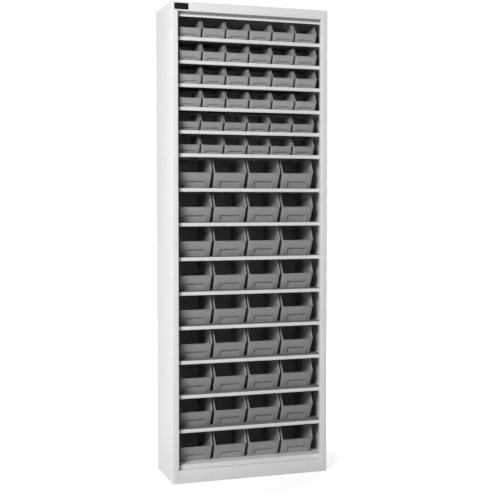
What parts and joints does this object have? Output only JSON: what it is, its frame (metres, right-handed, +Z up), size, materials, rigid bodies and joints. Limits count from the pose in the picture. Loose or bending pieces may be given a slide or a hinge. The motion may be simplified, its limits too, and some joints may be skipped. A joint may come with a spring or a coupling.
{
  "type": "parts bin cabinet",
  "caption": "Tall open-front folded-steel cabinet whose shelves hold rows of loose plastic picking bins, small ones above large ones, each free to slide straight out.",
  "frame": {"origin": "centre of the footprint, on the floor", "axes": "+Z up, the open front faces -Y, +X to the right of someone who faces the front"},
  "size_m": [0.685, 0.2816, 1.99],
  "materials": {
    "cabinet_paint": "light grey powder coat, fine texture, semi-matt",
    "shelf_paint": "light grey powder coat; the upper face behind the front fold carries a dark grey non-slip coating",
    "bare_steel": "galvanised, dull",
    "bin_plastic": "mid grey moulded polypropylene, satin",
    "black_plate": "black, blank, satin"
  },
  "bodies": {
    "cabinet": {"left_side": "cabinet_paint", "right_side": "cabinet_paint", "back_panel": "cabinet_paint", "top_cover": "cabinet_paint", "head_rail": "cabinet_paint", "plinth": "cabinet_paint", "bottom_shelf": "cabinet_paint", "lower_shelves": "shelf_paint", "middle_shelf": "shelf_paint", "upper_shelves": "shelf_paint", "front_left_strip": "bare_steel", "front_right_strip": "bare_steel", "rear_left_strip": "bare_steel", "rear_right_strip": "bare_steel", "shelf_clips": "bare_steel", "back_rivets": "bare_steel", "wall_plates": "bare_steel", "fascia_plate": "black_plate"},
    "large_bin_1_1": {"large_bin_1_1": "bin_plastic"},
    "large_bin_1_2": {"large_bin_1_2": "bin_plastic"},
    "large_bin_1_3": {"large_bin_1_3": "bin_plastic"},
    "large_bin_1_4": {"large_bin_1_4": "bin_plastic"},
    "large_bin_2_1": {"large_bin_2_1": "bin_plastic"},
    "large_bin_2_2": {"large_bin_2_2": "bin_plastic"},
    "large_bin_2_3": {"large_bin_2_3": "bin_plastic"},
    "large_bin_2_4": {"large_bin_2_4": "bin_plastic"},
    "large_bin_3_1": {"large_bin_3_1": "bin_plastic"},
    "large_bin_3_2": {"large_bin_3_2": "bin_plastic"},
    "large_bin_3_3": {"large_bin_3_3": "bin_plastic"},
    "large_bin_3_4": {"large_bin_3_4": "bin_plastic"},
    "large_bin_4_1": {"large_bin_4_1": "bin_plastic"},
    "large_bin_4_2": {"large_bin_4_2": "bin_plastic"},
    "large_bin_4_3": {"large_bin_4_3": "bin_plastic"},
    "large_bin_4_4": {"large_bin_4_4": "bin_plastic"},
    "large_bin_5_1": {"large_bin_5_1": "bin_plastic"},
    "large_bin_5_2": {"large_bin_5_2": "bin_plastic"},
    "large_bin_5_3": {"large_bin_5_3": "bin_plastic"},
    "large_bin_5_4": {"large_bin_5_4": "bin_plastic"},
    "large_bin_6_1": {"large_bin_6_1": "bin_plastic"},
    "large_bin_6_2": {"large_bin_6_2": "bin_plastic"},
    "large_bin_6_3": {"large_bin_6_3": "bin_plastic"},
    "large_bin_6_4": {"large_bin_6_4": "bin_plastic"},
    "large_bin_7_1": {"large_bin_7_1": "bin_plastic"},
    "large_bin_7_2": {"large_bin_7_2": "bin_plastic"},
    "large_bin_7_3": {"large_bin_7_3": "bin_plastic"},
    "large_bin_7_4": {"large_bin_7_4": "bin_plastic"},
    "large_bin_8_1": {"large_bin_8_1": "bin_plastic"},
    "large_bin_8_2": {"large_bin_8_2": "bin_plastic"},
    "large_bin_8_3": {"large_bin_8_3": "bin_plastic"},
    "large_bin_8_4": {"large_bin_8_4": "bin_plastic"},
    "large_bin_9_1": {"large_bin_9_1": "bin_plastic"},
    "large_bin_9_2": {"large_bin_9_2": "bin_plastic"},
    "large_bin_9_3": {"large_bin_9_3": "bin_plastic"},
    "large_bin_9_4": {"large_bin_9_4": "bin_plastic"},
    "small_bin_row_1": {"small_bin_row_1": "bin_plastic"},
    "small_bin_row_2": {"small_bin_row_2": "bin_plastic"},
    "small_bin_row_3": {"small_bin_row_3": "bin_plastic"},
    "small_bin_row_4": {"small_bin_row_4": "bin_plastic"},
    "small_bin_row_5": {"small_bin_row_5": "bin_plastic"},
    "small_bin_row_6": {"small_bin_row_6": "bin_plastic"}
  },
  "joints": [
    {"name": "small_bin_row_1_slide", "type": "slide", "parent": "cabinet", "child": "small_bin_row_1", "axis": [0, -1, 0], "range_m": [0, 0.22]},
    {"name": "small_bin_row_2_slide", "type": "slide", "parent": "cabinet", "child": "small_bin_row_2", "axis": [0, -1, 0], "range_m": [0, 0.22]},
    {"name": "small_bin_row_3_slide", "type": "slide", "parent": "cabinet", "child": "small_bin_row_3", "axis": [0, -1, 0], "range_m": [0, 0.19]},
    {"name": "small_bin_row_4_slide", "type": "slide", "parent": "cabinet", "child": "small_bin_row_4", "axis": [0, -1, 0], "range_m": [0, 0.19]},
    {"name": "small_bin_row_5_slide", "type": "slide", "parent": "cabinet", "child": "small_bin_row_5", "axis": [0, -1, 0], "range_m": [0, 0.19]},
    {"name": "small_bin_row_6_slide", "type": "slide", "parent": "cabinet", "child": "small_bin_row_6", "axis": [0, -1, 0], "range_m": [0, 0.19]},
    {"name": "large_bin_1_1_slide", "type": "slide", "parent": "cabinet", "child": "large_bin_1_1", "axis": [0, -1, 0], "range_m": [0, 0.285]},
    {"name": "large_bin_1_2_slide", "type": "slide", "parent": "cabinet", "child": "large_bin_1_2", "axis": [0, -1, 0], "range_m": [0, 0.285]},
    {"name": "large_bin_1_3_slide", "type": "slide", "parent": "cabinet", "child": "large_bin_1_3", "axis": [0, -1, 0], "range_m": [0, 0.285]},
    {"name": "large_bin_1_4_slide", "type": "slide", "parent": "cabinet", "child": "large_bin_1_4", "axis": [0, -1, 0], "range_m": [0, 0.285]},
    {"name": "large_bin_2_1_slide", "type": "slide", "parent": "cabinet", "child": "large_bin_2_1", "axis": [0, -1, 0], "range_m": [0, 0.285]},
    {"name": "large_bin_2_2_slide", "type": "slide", "parent": "cabinet", "child": "large_bin_2_2", "axis": [0, -1, 0], "range_m": [0, 0.285]},
    {"name": "large_bin_2_3_slide", "type": "slide", "parent": "cabinet", "child": "large_bin_2_3", "axis": [0, -1, 0], "range_m": [0, 0.285]},
    {"name": "large_bin_2_4_slide", "type": "slide", "parent": "cabinet", "child": "large_bin_2_4", "axis": [0, -1, 0], "range_m": [0, 0.285]},
    {"name": "large_bin_3_1_slide", "type": "slide", "parent": "cabinet", "child": "large_bin_3_1", "axis": [0, -1, 0], "range_m": [0, 0.285]},
    {"name": "large_bin_3_2_slide", "type": "slide", "parent": "cabinet", "child": "large_bin_3_2", "axis": [0, -1, 0], "range_m": [0, 0.285]},
    {"name": "large_bin_3_3_slide", "type": "slide", "parent": "cabinet", "child": "large_bin_3_3", "axis": [0, -1, 0], "range_m": [0, 0.285]},
    {"name": "large_bin_3_4_slide", "type": "slide", "parent": "cabinet", "child": "large_bin_3_4", "axis": [0, -1, 0], "range_m": [0, 0.285]},
    {"name": "large_bin_4_1_slide", "type": "slide", "parent": "cabinet", "child": "large_bin_4_1", "axis": [0, -1, 0], "range_m": [0, 0.285]},
    {"name": "large_bin_4_2_slide", "type": "slide", "parent": "cabinet", "child": "large_bin_4_2", "axis": [0, -1, 0], "range_m": [0, 0.285]},
    {"name": "large_bin_4_3_slide", "type": "slide", "parent": "cabinet", "child": "large_bin_4_3", "axis": [0, -1, 0], "range_m": [0, 0.285]},
    {"name": "large_bin_4_4_slide", "type": "slide", "parent": "cabinet", "child": "large_bin_4_4", "axis": [0, -1, 0], "range_m": [0, 0.285]},
    {"name": "large_bin_5_1_slide", "type": "slide", "parent": "cabinet", "child": "large_bin_5_1", "axis": [0, -1, 0], "range_m": [0, 0.285]},
    {"name": "large_bin_5_2_slide", "type": "slide", "parent": "cabinet", "child": "large_bin_5_2", "axis": [0, -1, 0], "range_m": [0, 0.285]},
    {"name": "large_bin_5_3_slide", "type": "slide", "parent": "cabinet", "child": "large_bin_5_3", "axis": [0, -1, 0], "range_m": [0, 0.285]},
    {"name": "large_bin_5_4_slide", "type": "slide", "parent": "cabinet", "child": "large_bin_5_4", "axis": [0, -1, 0], "range_m": [0, 0.285]},
    {"name": "large_bin_6_1_slide", "type": "slide", "parent": "cabinet", "child": "large_bin_6_1", "axis": [0, -1, 0], "range_m": [0, 0.285]},
    {"name": "large_bin_6_2_slide", "type": "slide", "parent": "cabinet", "child": "large_bin_6_2", "axis": [0, -1, 0], "range_m": [0, 0.285]},
    {"name": "large_bin_6_3_slide", "type": "slide", "parent": "cabinet", "child": "large_bin_6_3", "axis": [0, -1, 0], "range_m": [0, 0.285]},
    {"name": "large_bin_6_4_slide", "type": "slide", "parent": "cabinet", "child": "large_bin_6_4", "axis": [0, -1, 0], "range_m": [0, 0.285]},
    {"name": "large_bin_7_1_slide", "type": "slide", "parent": "cabinet", "child": "large_bin_7_1", "axis": [0, -1, 0], "range_m": [0, 0.285]},
    {"name": "large_bin_7_2_slide", "type": "slide", "parent": "cabinet", "child": "large_bin_7_2", "axis": [0, -1, 0], "range_m": [0, 0.285]},
    {"name": "large_bin_7_3_slide", "type": "slide", "parent": "cabinet", "child": "large_bin_7_3", "axis": [0, -1, 0], "range_m": [0, 0.285]},
    {"name": "large_bin_7_4_slide", "type": "slide", "parent": "cabinet", "child": "large_bin_7_4", "axis": [0, -1, 0], "range_m": [0, 0.285]},
    {"name": "large_bin_8_1_slide", "type": "slide", "parent": "cabinet", "child": "large_bin_8_1", "axis": [0, -1, 0], "range_m": [0, 0.285]},
    {"name": "large_bin_8_2_slide", "type": "slide", "parent": "cabinet", "child": "large_bin_8_2", "axis": [0, -1, 0], "range_m": [0, 0.285]},
    {"name": "large_bin_8_3_slide", "type": "slide", "parent": "cabinet", "child": "large_bin_8_3", "axis": [0, -1, 0], "range_m": [0, 0.285]},
    {"name": "large_bin_8_4_slide", "type": "slide", "parent": "cabinet", "child": "large_bin_8_4", "axis": [0, -1, 0], "range_m": [0, 0.285]},
    {"name": "large_bin_9_1_slide", "type": "slide", "parent": "cabinet", "child": "large_bin_9_1", "axis": [0, -1, 0], "range_m": [0, 0.285]},
    {"name": "large_bin_9_2_slide", "type": "slide", "parent": "cabinet", "child": "large_bin_9_2", "axis": [0, -1, 0], "range_m": [0, 0.285]},
    {"name": "large_bin_9_3_slide", "type": "slide", "parent": "cabinet", "child": "large_bin_9_3", "axis": [0, -1, 0], "range_m": [0, 0.285]},
    {"name": "large_bin_9_4_slide", "type": "slide", "parent": "cabinet", "child": "large_bin_9_4", "axis": [0, -1, 0], "range_m": [0, 0.285]}
  ]
}
